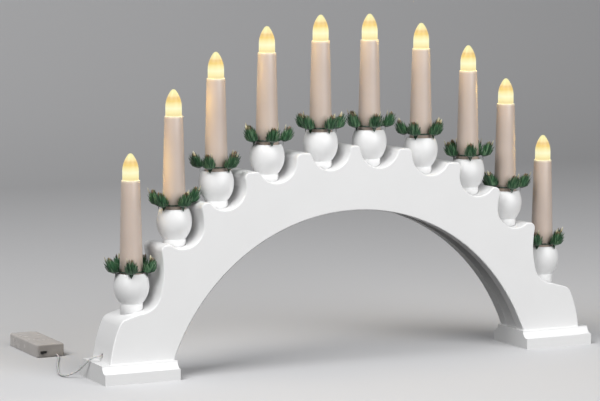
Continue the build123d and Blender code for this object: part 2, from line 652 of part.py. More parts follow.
def cell_contacts():
    """Sprung plates at both ends of the cells, pressed out to meet them."""
    low, high = CASE_FLOOR, CASE_FLOOR + CONTACT_HEIGHT
    button = along_y(CELL_NUB_RADIUS, CONTACT_REACH)
    shared = block(BOX_X, 2 * CELL_PITCH - CONTACT_GAP, BAY_END - CONTACT_THICK, BAY_END, low, high)
    plates = []
    for x, way in cell_places():
        shared += Pos(x, BAY_END - CONTACT_REACH / 2, CASE_FLOOR + CELL_RADIUS) * button
        near = block(x, CELL_PITCH - CONTACT_GAP, BAY_Y, BAY_Y + CONTACT_THICK, low, high)
        plates.append(near + Pos(x, BAY_Y + CONTACT_REACH / 2, CASE_FLOOR + CELL_RADIUS) * button)
    return Compound([shared] + plates)


def lead_points():
    """Route of the lead from the board in the battery box to the wires in the arch."""
    first = (LEAD_EXIT_X, FITTING_Y, LEAD_EXIT_Z)
    last = (-LOOM_END_X, 0, LEAD_BORE_Z)
    return [Vector(*p) for p in [first] + LEAD_ROUTE + [last]]


def lead_radii(points):
    """Bend radius at each inner point of the route, from the shorter run beside it."""
    radii = []
    for before, here, after in zip(points, points[1:], points[2:]):
        first, second = here - before, after - here
        turn = radians(first.get_angle(second))
        radii.append(LEAD_BEND_SHARE * min(first.length, second.length) / tan(turn / 2))
    return radii


def lead_cord():
    """Thin lead: straight runs with a tangent bend at each point of the route."""
    points = lead_points()
    radii = lead_radii(points)
    path = FilletPolyline(*points, radius=radii)
    cord = sweep(Plane(path @ 0, z_dir=path % 0) * Circle(LEAD_RADIUS), path=path)
    print("lead bends", [round(r, 1) for r in radii], "least allowed", 2 * LEAD_RADIUS * LEAD_LIMP)
    print("lead length", round(path.length, 1), "volume", round(cord.volume, 1),
          "section times length", round(pi * LEAD_RADIUS ** 2 * path.length, 1))
    return cord


def build():
    """Every node of the candle arch by name."""
    nodes = {
        "arch_board": arch_board(),
        "foot_left": foot(-1),
        "foot_right": foot(1),
        "foot_screws": foot_screws(),
        "lamp_plugs": at_candles(lamp_plug()),
        "leds": at_candles(led()),
        "wire_loom": wire_loom(),
        "battery_case": battery_case(),
        "switch_deck": switch_deck(),
        "battery_cover": battery_cover(),
        "switch_knob": switch_knob(),
        "switch_body": switch_body(),
        "timer_board": timer_board(),
        "battery_cells": battery_cells(),
        "cell_contacts": cell_contacts(),
        "lead_cord": lead_cord(),
    }
    cup, tube, bulb = candle_cup(), candle_tube(), flame_bulb()
    for number, (x, seat) in enumerate(zip(CANDLES, SEATS)):
        place = Pos(x, 0, seat)
        nodes[f"candle_cup_{number + 1:02d}"] = place * cup
        nodes[f"candle_tube_{number + 1:02d}"] = place * tube
        nodes[f"flame_bulb_{number + 1:02d}"] = place * bulb
        nodes[f"candle_ring_{number + 1:02d}"] = candle_ring(number)
    return nodes


os.makedirs("parts", exist_ok=True)
for name, solid in build().items():
    export_step(solid, f"parts/{name}.step")
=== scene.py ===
# Looks of the candle arch, in metres, in the part's own frame.
import math
import random

import bmesh
import bpy
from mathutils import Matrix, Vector


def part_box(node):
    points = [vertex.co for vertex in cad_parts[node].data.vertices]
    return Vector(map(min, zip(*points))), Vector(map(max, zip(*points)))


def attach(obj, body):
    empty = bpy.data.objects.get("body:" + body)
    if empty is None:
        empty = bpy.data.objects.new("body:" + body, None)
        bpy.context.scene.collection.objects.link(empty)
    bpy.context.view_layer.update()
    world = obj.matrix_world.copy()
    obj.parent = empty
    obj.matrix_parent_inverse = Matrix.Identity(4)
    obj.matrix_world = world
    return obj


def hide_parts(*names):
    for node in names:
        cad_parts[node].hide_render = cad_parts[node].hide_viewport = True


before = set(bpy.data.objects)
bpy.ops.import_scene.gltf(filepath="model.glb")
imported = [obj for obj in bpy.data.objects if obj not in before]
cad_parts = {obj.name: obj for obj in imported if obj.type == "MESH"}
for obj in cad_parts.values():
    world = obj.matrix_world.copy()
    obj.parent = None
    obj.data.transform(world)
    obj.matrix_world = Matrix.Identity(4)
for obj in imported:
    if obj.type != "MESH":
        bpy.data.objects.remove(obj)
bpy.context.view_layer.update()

MM = 0.001
CANDLE_COUNT = 10
NUMBERS = [f"{n + 1:02d}" for n in range(CANDLE_COUNT)]
UP = Vector((0, 0, 1))

# Camera, solved from the photograph
CAMERA_TARGET = Vector((-48.5, 0, 158.2)) * MM
CAMERA_AZIMUTH = math.radians(-25.985)
CAMERA_ELEVATION = math.radians(6.502)
CAMERA_DISTANCE = 2383.6 * MM
CAMERA_LENS = 148.71
SENSOR_WIDTH = 36

# Turned and moulded candle parts
LATHE_STEPS = 72
EDGE_ROUND = 0.5 * MM
BALL_RADIUS = 16.8 * MM
BALL_MIDDLE = 23.8 * MM
BALL_FOOT_RADIUS = 10.2 * MM
NECK_RADIUS = 10.7 * MM
NECK_HEIGHT = 7.0 * MM
CUP_TOP = 35.6 * MM
RIM_RADIUS = 13.65 * MM
SOCKET_RADIUS = 11.47 * MM
SOCKET_DEPTH = 7.0 * MM
WIRE_BORE = 3.0 * MM
OUTER_SINK = 3.1 * MM
TUBE_TOP_RADIUS = 8.85 * MM
TUBE_HOLE_RADIUS = 6.6 * MM
TUBE_LIP = 2.0 * MM
TUBE_WALL = 1.3 * MM
BULB_RADIUS = 7.7 * MM
BULB_STRAIGHT = 8.0 * MM
BULB_TIP_RADIUS = 2.8 * MM
BULB_LENGTH = 25.0 * MM
BULB_WALL = 1.0 * MM
SPIGOT_RADIUS = 6.4 * MM
SPIGOT_LENGTH = 1.8 * MM
GLOW_HEIGHT = 14.0 * MM
GLOW_WATTS = 0.04

# Candle rings: a wire hoop with five sprigs of pointed leaves
HOOP_RADIUS = 12.3 * MM
HOOP_WIRE = 0.8 * MM
HOOP_RISE = 3.0 * MM
RING_DROP = {"01": 2.0 * MM, "10": 1.0 * MM}
SPRIG_COUNT = 5
SPRIG_INNER = 17.2 * MM
SPRIG_SLOPE = 0.33
TUBE_CLEAR = 11.7 * MM
STEM_REACH = 15.0 * MM
STEM_LEAN = 0.15
STEM_RISES = (0.8 * MM, -1.2 * MM, -3.2 * MM, -5.4 * MM)
STEM_WIDTHS = (2.4 * MM, 2.2 * MM, 1.3 * MM)
# the stem leaf is near black, darkest at its low tip: partly its own dark green, partly painted shadow of the
# sprig on the ball
STEM_TINTS = (0.10, 0.08, 0.05, 0.03)
STEM_FLAT = 0.12
LEAF_FLAT = 0.35
LEAF_WIDTHS = (0.5, 0.95, 1.0, 0.7)
PALE_TINT = 0.55
# painted highlight: tint added along the edges of the darker leaves
PAINTED_EDGE_HIGHLIGHT = 0.16
HOOP_TINT = 0.05
NEEDLE_TONES = (0.14, 0.22, 0.32, 0.44, 0.60)
RING_TURN = [-112, -80, -136, -98, -84, -100, -138, -110, -94, -140]
WALL_GAP = {"01": 21.2 * MM, "10": 21.2 * MM}
RAISED_SPRIGS = {("02", 1): 2.5 * MM, ("09", 4): 2.5 * MM}

# Rows of needles in a sprig: how many, then height and spread at the bend and at the tip, and half width
NEEDLE_ROWS = [
    (22, 0.6, 5.2, 5.4, 7.2, 0.75),
    (22, 2.8, 5.0, 9.0, 6.8, 0.75),
    (18, 4.8, 3.8, 11.4, 5.0, 0.70),
    (12, 6.2, 2.2, 13.0, 2.8, 0.65),
]

# Brown buds and one pale needle in a sprig, near white at its tip: height and spread up the leaf in
# millimetres, half width and tints
BUD_COUNT = 4
BUD_POINTS = [(4.0, 0.6), (8.0, 1.4), (10.0, 1.8), (12.2, 1.6)]
BUD_TIP = (13.8, 1.2)
BUD_WIDTH = 1.2
BUD_TINTS = [0.79, 0.81, 0.84, 0.87, 0.90]
PALE_TIP_POINTS = [(5.0, 2.4), (8.5, 3.4), (11.0, 3.9), (13.6, 4.2), (15.6, 4.4)]
PALE_TIP_WIDTH = 1.3
PALE_TIP_TINTS = [0.40, 0.62, 0.93, 0.97, 1.0]

# Lead from the battery box to the arch, the same route as the part's
LEAD_DIAMETER = 2.0 * MM
STRAND_RADIUS = 0.60 * MM
STRAND_PITCH = 9.0 * MM
STRAND_STEP = 0.5 * MM
LEAD_POINTS = [
    (-248.5, 136.4, 1.9), (-248.5, 133.0, 1.9), (-250.5, 124.0, 1.2), (-258.2, 106.0, 1.05),
    (-266.2, 86.0, 1.1), (-274.4, 62.0, 1.05), (-282.6, 38.0, 1.1), (-281.0, 24.0, 1.6),
    (-271.5, 17.5, 6.5), (-267.4, 9.0, 14.5), (-263.0, 2.2, 21.6), (-253.0, 0.0, 22.7),
    (-232.0, 0.0, 22.7),
]

# Floor and backdrop, and the lamps as place, size and watts
FLOOR_HALF_WIDTH = 5.0
FLOOR_FRONT = -4.0
SWEEP_START = 1.6
SWEEP_RADIUS = 1.2
SWEEP_TURNS = (0.2, 0.4, 0.6, 0.8, 1.0, 1.2, 1.4)
BACKDROP_TOP = 4.0
LAMP_TARGET = Vector((0, 0, 0.15))
LAMPS = {
    "front": (Vector((0.8, -2.5, 1.3)), 2.2, 66),
    "left": (Vector((-1.7, -0.65, 2.1)), 1.7, 60),
}
SKY_COLOUR = (0.92, 0.93, 0.95, 1)
SKY_STRENGTH = 0.14


def put(name, data):
    """A mesh, curve, lamp or camera as an object in the scene."""
    piece = bpy.data.objects.new(name, data)
    bpy.context.scene.collection.objects.link(piece)
    return piece


def mesh_of(name, bm, smooth=True):
    """A mesh from a bmesh, with its faces turned outwards."""
    bmesh.ops.recalc_face_normals(bm, faces=bm.faces)
    mesh = bpy.data.meshes.new(name)
    bm.to_mesh(mesh)
    bm.free()
    mesh.polygons.foreach_set("use_smooth", [smooth] * len(mesh.polygons))
    return mesh


def aim(piece, target):
    """Turns a lamp or camera to face a point."""
    direction = target - piece.location
    piece.rotation_euler = direction.to_track_quat("-Z", "Y").to_euler()


# Finishes


def group_tree(name, inputs, outputs):
    """An empty shader group with float inputs and outputs."""
    tree = bpy.data.node_groups.new(name, "ShaderNodeTree")
    for socket, value in inputs.items():
        made = tree.interface.new_socket(socket, in_out="INPUT", socket_type="NodeSocketFloat")
        made.default_value = value
    for socket in outputs:
        tree.interface.new_socket(socket, in_out="OUTPUT", socket_type="NodeSocketFloat")
    return tree, tree.nodes.new("NodeGroupInput"), tree.nodes.new("NodeGroupOutput")


def ripple_group():
    """Slight unevenness of a coated or moulded skin: a broad swell and a fine tooth."""
    tree, inside, outside = group_tree(
        "skin_ripple", {"Broad Scale": 40.0, "Fine Scale": 900.0, "Fine Share": 0.4}, ["Height", "Tone"])
    place = tree.nodes.new("ShaderNodeTexCoord")
    broad = tree.nodes.new("ShaderNodeTexNoise")
    fine = tree.nodes.new("ShaderNodeTexNoise")
    broad.inputs["Detail"].default_value = 3
    fine.inputs["Detail"].default_value = 2
    blend = tree.nodes.new("ShaderNodeMix")
    link = tree.links.new
    for noise, scale in ((broad, "Broad Scale"), (fine, "Fine Scale")):
        link(place.outputs["Object"], noise.inputs["Vector"])
        link(inside.outputs[scale], noise.inputs["Scale"])
    link(inside.outputs["Fine Share"], blend.inputs["Factor"])
    link(broad.outputs["Fac"], blend.inputs["A"])
    link(fine.outputs["Fac"], blend.inputs["B"])
    link(blend.outputs["Result"], outside.inputs["Height"])
    link(broad.outputs["Fac"], outside.inputs["Tone"])
    return tree


RIPPLE = ripple_group()


def finish_of(name):
    """A new material, its node tree and its shader."""
    material = bpy.data.materials.new(name)
    material.use_nodes = True
    tree = material.node_tree
    return material, tree, tree.nodes["Principled BSDF"]


def ramp_of(tree, stops):
    """A colour ramp with the given stops."""
    ramp = tree.nodes.new("ShaderNodeValToRGB")
    elements = ramp.color_ramp.elements
    while len(elements) < len(stops):
        elements.new(0.5)
    for element, (position, colour) in zip(elements, stops):
        element.position = position
        element.color = (*colour, 1)
    return ramp


def rippled(tree, shader, broad, fine, share, bump, tones, rough):
    """Gives a shader the skin ripple: colour, roughness and bump from one group."""
    skin = tree.nodes.new("ShaderNodeGroup")
    skin.node_tree = RIPPLE
    skin.inputs["Broad Scale"].default_value = broad
    skin.inputs["Fine Scale"].default_value = fine
    skin.inputs["Fine Share"].default_value = share
    colour = ramp_of(tree, [(0.3, tones[0]), (0.7, tones[1])])
    dull = tree.nodes.new("ShaderNodeMapRange")
    dull.inputs["To Min"].default_value = rough[0]
    dull.inputs["To Max"].default_value = rough[1]
    relief = tree.nodes.new("ShaderNodeBump")
    relief.inputs["Strength"].default_value = bump
    relief.inputs["Distance"].default_value = 0.3 * MM
    link = tree.links.new
    link(skin.outputs["Tone"], colour.inputs["Fac"])
    link(skin.outputs["Tone"], dull.inputs["Value"])
    link(skin.outputs["Height"], relief.inputs["Height"])
    link(colour.outputs["Color"], shader.inputs["Base Color"])
    link(dull.outputs["Result"], shader.inputs["Roughness"])
    link(relief.outputs["Normal"], shader.inputs["Normal"])
    return colour


def glowing(tree, shader, stops, strength):
    """Gives a shader a glow that changes up the height of its piece."""
    place = tree.nodes.new("ShaderNodeTexCoord")
    split = tree.nodes.new("ShaderNodeSeparateXYZ")
    glow = ramp_of(tree, stops)
    tree.links.new(place.outputs["Generated"], split.inputs["Vector"])
    tree.links.new(split.outputs["Z"], glow.inputs["Fac"])
    tree.links.new(glow.outputs["Color"], shader.inputs["Emission Color"])
    shader.inputs["Emission Strength"].default_value = strength


def white_paint():
    """Satin white paint, sprayed, with a faint orange peel."""
    material, tree, shader = finish_of("white_satin_paint")
    rippled(tree, shader, 28, 1100, 0.6, 0.06, [(0.845, 0.845, 0.845), (0.860, 0.860, 0.860)], (0.38, 0.46))
    return material


def candle_plastic():
    """Ivory tube plastic, a little translucent, with a painted glow at the rim that stands in for the lamp
    shining through.
    """
    material, tree, shader = finish_of("ivory_candle_plastic")
    rippled(tree, shader, 35, 700, 0.3, 0.05, [(0.570, 0.470, 0.405), (0.605, 0.500, 0.430)], (0.30, 0.38))
    shader.inputs["Subsurface Weight"].default_value = 0.12
    shader.inputs["Subsurface Radius"].default_value = (1.0, 0.7, 0.45)
    shader.inputs["Subsurface Scale"].default_value = 2.0 * MM
    # painted glow: the top of the tube emits, standing in for the bulb's light shining through its lip
    stops = [
        (0.60, (0.0, 0.0, 0.0)), (0.972, (0.02, 0.012, 0.003)), (0.985, (0.12, 0.10, 0.05)),
        (1.0, (0.34, 0.36, 0.20)),
    ]
    glowing(tree, shader, stops, 1.0)
    return material


def flame_plastic():
    """Lit flame bulb: bright below, an amber band where the diode's light ends, paler to the tip."""
    material, tree, shader = finish_of("lit_flame_plastic")
    rippled(tree, shader, 220, 900, 0.3, 0.05, [(0.10, 0.08, 0.04), (0.13, 0.105, 0.06)], (0.30, 0.40))
    stops = [
        (0.06, (0.84, 0.74, 0.42)), (0.12, (0.80, 0.68, 0.34)), (0.19, (0.86, 0.79, 0.41)),
        (0.34, (0.90, 0.89, 0.58)), (0.49, (0.88, 0.78, 0.39)), (0.60, (0.80, 0.58, 0.18)),
        (0.71, (0.75, 0.52, 0.20)), (0.79, (0.87, 0.72, 0.36)), (0.90, (0.85, 0.81, 0.41)),
    ]
    glowing(tree, shader, stops, 1.0)
    shader.inputs["Specular IOR Level"].default_value = 0.25
    return material


def diode_plastic():
    """Warm lit diode."""
    material, tree, shader = finish_of("lit_diode")
    rippled(tree, shader, 300, 900, 0.3, 0.03, [(0.70, 0.55, 0.30), (0.80, 0.64, 0.38)], (0.15, 0.2))
    glowing(tree, shader, [(0.0, (0.6, 0.4, 0.14)), (1.0, (1.0, 0.8, 0.4))], 1.0)
    return material


def clear_plastic():
    """Clear moulded case, hazy with fine scratches and faintly smoky."""
    material, tree, shader = finish_of("clear_case_plastic")
    rippled(tree, shader, 60, 500, 0.3, 0.05, [(0.70, 0.66, 0.63), (0.78, 0.74, 0.71)], (0.20, 0.32))
    edge = tree.nodes.new("ShaderNodeLayerWeight")
    edge.inputs["Blend"].default_value = 0.35
    haze = tree.nodes.new("ShaderNodeMapRange")
    haze.inputs["To Min"].default_value = 0.40
    haze.inputs["To Max"].default_value = 0.85
    tree.links.new(edge.outputs["Facing"], haze.inputs["Value"])
    tree.links.new(haze.outputs["Result"], shader.inputs["Alpha"])
    return material


def sleeve_plastic():
    """Pale translucent wire sleeve."""
    material, tree, shader = finish_of("pale_wire_sleeve")
    rippled(tree, shader, 300, 1500, 0.3, 0.05, [(0.60, 0.60, 0.58), (0.68, 0.68, 0.66)], (0.2, 0.3))
    shader.inputs["Subsurface Weight"].default_value = 0.2
    shader.inputs["Subsurface Scale"].default_value = 0.6 * MM
    return material


def moulded(name, dark, light, rough):
    """Plain moulded plastic or board in two close tones."""
    material, tree, shader = finish_of(name)
    rippled(tree, shader, 150, 1200, 0.6, 0.1, [dark, light], rough)
    return material


def bright_metal(name, dark, light, rough):
    """Plated metal with faint brushing."""
    material, tree, shader = finish_of(name)
    rippled(tree, shader, 400, 3000, 0.6, 0.06, [dark, light], rough)
    shader.inputs["Metallic"].default_value = 1.0
    return material


def leaf_plastic():
    """Dark green leaves with painted highlights on their edges and painted shade at their roots, brown buds
    and a pale tip.
    """
    material, tree, shader = finish_of("green_leaf_plastic")
    greens = [(0.010, 0.050, 0.022), (0.026, 0.110, 0.045)]
    colour = rippled(tree, shader, 260, 1800, 0.4, 0.15, greens, (0.28, 0.42))
    tint = tree.nodes.new("ShaderNodeAttribute")
    tint.attribute_name = "tint"
    # tint runs from painted shade at the leaf roots through the greens, with painted highlights on the edges,
    # to brown buds and a near-white tip
    shade = ramp_of(tree, [
        (0.0, (0.003, 0.012, 0.006)), (0.30, (0.018, 0.078, 0.030)), (0.55, (0.062, 0.185, 0.080)),
        (0.74, (0.24, 0.38, 0.22)), (0.80, (0.090, 0.042, 0.020)), (0.87, (0.23, 0.13, 0.085)),
        (0.93, (0.55, 0.46, 0.24)), (1.0, (0.92, 0.90, 0.70)),
    ])
    mix = tree.nodes.new("ShaderNodeMix")
    mix.data_type = "RGBA"
    mix.inputs[0].default_value = 0.85
    tree.links.new(tint.outputs["Fac"], shade.inputs["Fac"])
    tree.links.new(colour.outputs["Color"], mix.inputs[6])
    tree.links.new(shade.outputs["Color"], mix.inputs[7])
    tree.links.new(mix.outputs[2], shader.inputs["Base Color"])
    return material


# Turned pieces


def arc_points(centre, radius, first, last, steps):
    """Points on an arc of a profile, in radius and height, with angles in degrees."""
    turns = [math.radians(first + (last - first) * k / steps) for k in range(steps + 1)]
    return [(centre[0] + radius * math.cos(t), centre[1] + radius * math.sin(t)) for t in turns]


def rounded(centre, first, last):
    """Points of a small round at an edge of a profile."""
    return arc_points(centre, EDGE_ROUND, first, last, 3)


def lathe(name, profile, x, z):
    """A closed turned piece from an outline of radius and height, on a candle's axis."""
    bm = bmesh.new()
    rings = []
    for radius, height in profile:
        if radius < 1e-6:
            rings.append([bm.verts.new((x, 0, z + height))])
            continue
        ring = []
        for k in range(LATHE_STEPS):
            turn = 2 * math.pi * k / LATHE_STEPS
            ring.append(bm.verts.new((x + radius * math.cos(turn), radius * math.sin(turn), z + height)))
        rings.append(ring)
    for lower, upper in zip(rings, rings[1:] + rings[:1]):
        for k in range(LATHE_STEPS):
            n = (k + 1) % LATHE_STEPS
            below = [lower[k % len(lower)], lower[n % len(lower)]]
            above = [upper[n % len(upper)], upper[k % len(upper)]]
            corners = list(dict.fromkeys(below + above))
            if len(corners) > 2:
                bm.faces.new(corners)
    return put(name, mesh_of(name, bm))


def swell(end_radius, height, steps, rising):
    """Arc of the ball between its middle and a smaller radius, above or below it."""
    inset = BALL_RADIUS - end_radius
    radius = (inset ** 2 + height ** 2) / (2 * inset)
    turn = math.degrees(math.asin(height / radius))
    centre = (BALL_RADIUS - radius, BALL_MIDDLE)
    first, last = (0, turn) if rising else (-turn, 0)
    return arc_points(centre, radius, first, last, steps)


def cup_profile(sink):
    """Neck and ball of a cup, with its rim and socket; the neck may sink into a sloping seat."""
    e = EDGE_ROUND
    socket = CUP_TOP - SOCKET_DEPTH
    points = [(WIRE_BORE, -sink), (NECK_RADIUS, -sink)]
    points += rounded((NECK_RADIUS - e, NECK_HEIGHT - e), 0, 80)
    points += swell(BALL_FOOT_RADIUS, BALL_MIDDLE - NECK_HEIGHT, 16, False)
    points += swell(RIM_RADIUS, CUP_TOP - BALL_MIDDLE, 12, True)[1:-1]
    points += rounded((RIM_RADIUS - e, CUP_TOP - e), 30, 90)
    points += rounded((SOCKET_RADIUS + e, CUP_TOP - e), 90, 180)
    points += [(SOCKET_RADIUS, socket), (WIRE_BORE, socket)]
    return points


def tube_profile(foot_radius, height):
    """Tapered tube with a rounded lip at the top."""
    e = EDGE_ROUND
    points = [(foot_radius - TUBE_WALL, 0.0), (foot_radius, 0.0)]
    for share in (0.25, 0.5, 0.75):
        points.append((foot_radius + (TUBE_TOP_RADIUS - foot_radius) * share, (height - e) * share))
    points += rounded((TUBE_TOP_RADIUS - e, height - e), 0, 90)
    points += rounded((TUBE_HOLE_RADIUS + e, height - e), 90, 180)
    points += [(TUBE_HOLE_RADIUS, height - TUBE_LIP), (TUBE_TOP_RADIUS - TUBE_WALL, height - TUBE_LIP)]
    return points


def flame_side(radius, straight, height, steps):
    """Points up the side of a flame outline, from the skirt to the tip."""
    tip = BULB_TIP_RADIUS
    reach = height - tip - straight
    bend = (radius ** 2 - tip ** 2 + reach ** 2) / (2 * (radius - tip))
    turn = math.degrees(math.atan2(reach, bend - radius))
    points = arc_points((radius - bend, straight), bend, 0, turn, steps)
    return points + arc_points((0, height - tip), tip, turn, 90, 6)[1:-1] + [(0, height)]


def bulb_profile():
    """Hollow flame bulb with a spigot below."""
    bore = SPIGOT_RADIUS - BULB_WALL
    inside = flame_side(BULB_RADIUS - BULB_WALL, BULB_STRAIGHT, BULB_LENGTH - 2 * BULB_WALL, 10)
    points = [(bore, -SPIGOT_LENGTH), (SPIGOT_RADIUS, -SPIGOT_LENGTH), (SPIGOT_RADIUS, 0.0)]
    points += rounded((BULB_RADIUS - EDGE_ROUND, EDGE_ROUND), -90, 0)
    points += flame_side(BULB_RADIUS, BULB_STRAIGHT, BULB_LENGTH, 16)
    points += list(reversed(inside))
    points += [(BULB_RADIUS - BULB_WALL, BULB_WALL), (bore, BULB_WALL)]
    return points


def glow_lamp(number, x, z):
    """Small warm lamp in a bulb, which tints the candles beside it."""
    data = bpy.data.lights.new(f"glow_{number}", "POINT")
    data.energy = GLOW_WATTS
    data.color = (1.0, 0.66, 0.16)
    data.shadow_soft_size = BULB_RADIUS / 2
    piece = put(f"glow_{number}", data)
    piece.location = (x, 0, z + GLOW_HEIGHT)


def candles(paint, ivory, flame):
    """Cups, tubes and flame bulbs as finely turned pieces."""
    bulb = bulb_profile()
    for number in NUMBERS:
        low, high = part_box(f"candle_tube_{number}")
        x = (low.x + high.x) / 2
        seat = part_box(f"candle_cup_{number}")[1].z - CUP_TOP
        cup = cup_profile(OUTER_SINK if number in (NUMBERS[0], NUMBERS[-1]) else 0.0)
        tube = tube_profile((high.x - low.x) / 2, high.z - low.z)
        lit = lathe(f"flame_{number}", bulb, x, high.z)
        lit.visible_shadow = False
        glow_lamp(number, x, high.z)
        pieces = [
            (lathe(f"ball_cup_{number}", cup, x, seat), "candle_cup", "painted_wood", paint),
            (lathe(f"tube_{number}", tube, x, low.z), "candle_tube", "candle_plastic", ivory),
            (lit, "flame_bulb", "flame_plastic", flame),
        ]
        for piece, node, slot, material in pieces:
            piece.data.materials.append(material)
            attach(piece, "arch")
            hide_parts(f"{node}_{number}")


# Candle rings


def blade(bm, spine, across, widths, tints, flat):
    """A pointed leaf along a line of points: a flat diamond in section, with a painted highlight along its
    edges.
    """
    tint = bm.verts.layers.float["tint"]
    rings = []
    for k, point in enumerate(spine[:-1]):
        along = (spine[k + 1] - spine[max(k - 1, 0)]).normalized()
        thick = along.cross(across).normalized() * flat
        ring = []
        # darker leaves get a painted highlight along their edges
        paler = PAINTED_EDGE_HIGHLIGHT if tints[k] < PALE_TINT else 0.0
        for offset, edge in ((across, paler), (thick, 0.0), (-across, paler), (-thick, 0.0)):
            vert = bm.verts.new(point + offset * widths[k])
            vert[tint] = tints[k] + edge
            ring.append(vert)
        rings.append(ring)
    tip = bm.verts.new(spine[-1])
    tip[tint] = tints[-1]
    bm.faces.new(list(reversed(rings[0])))
    for lower, upper in zip(rings, rings[1:] + [[tip] * 4]):
        for s in range(4):
            n = (s + 1) % 4
            bm.faces.new(dict.fromkeys((lower[s], lower[n], upper[n], upper[s])))


def hoop(bm, centre):
    """The wire hoop, wound with a second thin wire."""
    tint = bm.verts.layers.float["tint"]
    steps, sides, windings = 96, 8, 24
    rings = []
    for k in range(steps):
        turn = 2 * math.pi * k / steps
        out = Vector((math.cos(turn), math.sin(turn), 0))
        wire = HOOP_WIRE * (0.92 + 0.08 * math.cos(windings * turn))
        ring = []
        for s in range(sides):
            angle = 2 * math.pi * s / sides
            reach = HOOP_RADIUS + wire * math.cos(angle)
            vert = bm.verts.new(centre + out * reach + UP * (wire * math.sin(angle)))
            vert[tint] = HOOP_TINT
            ring.append(vert)
        rings.append(ring)
    for lower, upper in zip(rings, rings[1:] + rings[:1]):
        for s in range(sides):
            n = (s + 1) % sides
            bm.faces.new((lower[s], upper[s], upper[n], lower[n]))


def sprig(bm, centre, turn, gap, draw):
    """A rosette of leaves in rows round brown buds, leaning out from the candle."""
    out = Vector((math.cos(turn), math.sin(turn), 0))
    side = Vector((-out.y, out.x, 0))
    inward = out.x if centre.x < 0 else -out.x

    def place(height, angle, spread):
        reach = SPRIG_INNER + SPRIG_SLOPE * height * MM
        if gap and inward > 0:
            reach = min(reach, (gap - (spread + 1) * MM) / inward)
        if math.cos(angle) < -0.1:
            spread = min(spread, (reach - TUBE_CLEAR) / MM / -math.cos(angle))
        away = out * math.cos(angle) + side * math.sin(angle)
        return centre + out * reach + away * (spread * MM) + UP * (height * MM)

    def leaf(angle, points, width, tints):
        across = side * math.cos(angle) - out * math.sin(angle)
        spine = [place(height, angle, spread) for height, spread in points]
        widths = [share * width * MM for share in LEAF_WIDTHS]
        blade(bm, spine, across, widths, tints, LEAF_FLAT)

    for row, (count, bend, spread, top, reach, width) in enumerate(NEEDLE_ROWS):
        for k in range(count):
            angle = 2 * math.pi * (k + 0.5 * row + draw.uniform(-0.25, 0.25)) / count
            tall = top * draw.uniform(0.88, 1.10)
            wide = reach * draw.uniform(0.92, 1.06)
            points = [(-1.4, 0.8), (0.5 * bend - 0.7, 0.5 * spread + 0.4), (bend, spread),
                      (0.45 * bend + 0.55 * tall, 0.45 * spread + 0.55 * wide), (tall, wide)]
            tone = draw.choice(NEEDLE_TONES) + draw.uniform(-0.05, 0.05)
            # each needle runs from dark at its root, painted shade where the needles crowd at the foot of the
            # sprig, to its palest at the tip
            leaf(angle, points, width, [0.3 * tone, 0.6 * tone, 0.9 * tone, tone + 0.05, tone + 0.13])
    for k in range(BUD_COUNT):
        angle = 2 * math.pi / BUD_COUNT * (k + draw.uniform(-0.3, 0.3))
        tip = (BUD_TIP[0] * draw.uniform(0.94, 1.04), BUD_TIP[1])
        leaf(angle, BUD_POINTS + [tip], BUD_WIDTH, BUD_TINTS)
    # one pale needle that runs to near white at its tip
    leaf(draw.uniform(-math.pi, math.pi), PALE_TIP_POINTS, PALE_TIP_WIDTH, PALE_TIP_TINTS)
    # near-black stem leaf, partly painted shadow of the sprig on the ball
    stem = [centre + out * (STEM_REACH - rise * STEM_LEAN) + UP * rise for rise in STEM_RISES]
    blade(bm, stem, side, STEM_WIDTHS, STEM_TINTS, STEM_FLAT)


def candle_ring(index, material):
    """The sprigs and hoop of one candle, standing for the plain ring."""
    number = NUMBERS[index]
    tube_low, tube_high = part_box(f"candle_tube_{number}")
    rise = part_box(f"candle_cup_{number}")[1].z + HOOP_RISE + HOOP_WIRE - RING_DROP.get(number, 0)
    centre = Vector(((tube_low.x + tube_high.x) / 2, 0, rise))
    bm = bmesh.new()
    bm.verts.layers.float.new("tint")
    hoop(bm, centre)
    draw = random.Random(100 + index)
    for k in range(SPRIG_COUNT):
        foot = centre + UP * RAISED_SPRIGS.get((number, k), 0)
        sprig(bm, foot, math.radians(RING_TURN[index] + k * 360 / SPRIG_COUNT), WALL_GAP.get(number), draw)
    ring = put(f"sprigs_{number}", mesh_of(f"sprigs_{number}", bm, False))
    ring.data.materials.append(material)
    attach(ring, f"ring_{number}")
    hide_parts(f"candle_ring_{number}")


# Lead


def lead_line():
    """Points along the smooth line of the lead, read from its route's curve."""
    curve = bpy.data.curves.new("lead_route", "CURVE")
    curve.dimensions = "3D"
    curve.resolution_u = 16
    spline = curve.splines.new("NURBS")
    spline.points.add(len(LEAD_POINTS) - 1)
    for point, place in zip(spline.points, LEAD_POINTS):
        point.co = (*(Vector(place) * MM), 1)
    spline.order_u = 3
    spline.use_endpoint_u = True
    route = put("lead_route", curve)
    mesh = bpy.data.meshes.new_from_object(route.evaluated_get(bpy.context.evaluated_depsgraph_get()))
    line = [v.co.copy() for v in mesh.vertices]
    bpy.data.objects.remove(route)
    bpy.data.meshes.remove(mesh)
    return line


def even_line(line, step):
    """The same line at even steps, and its length."""
    places = [0.0]
    for a, b in zip(line, line[1:]):
        places.append(places[-1] + (b - a).length)
    count = round(places[-1] / step)
    even, k = [], 0
    for n in range(count + 1):
        want = places[-1] * n / count
        while k < len(line) - 2 and places[k + 1] < want:
            k += 1
        span = max(places[k + 1] - places[k], 1e-12)
        even.append(line[k].lerp(line[k + 1], min((want - places[k]) / span, 1)))
    return even, places[-1]


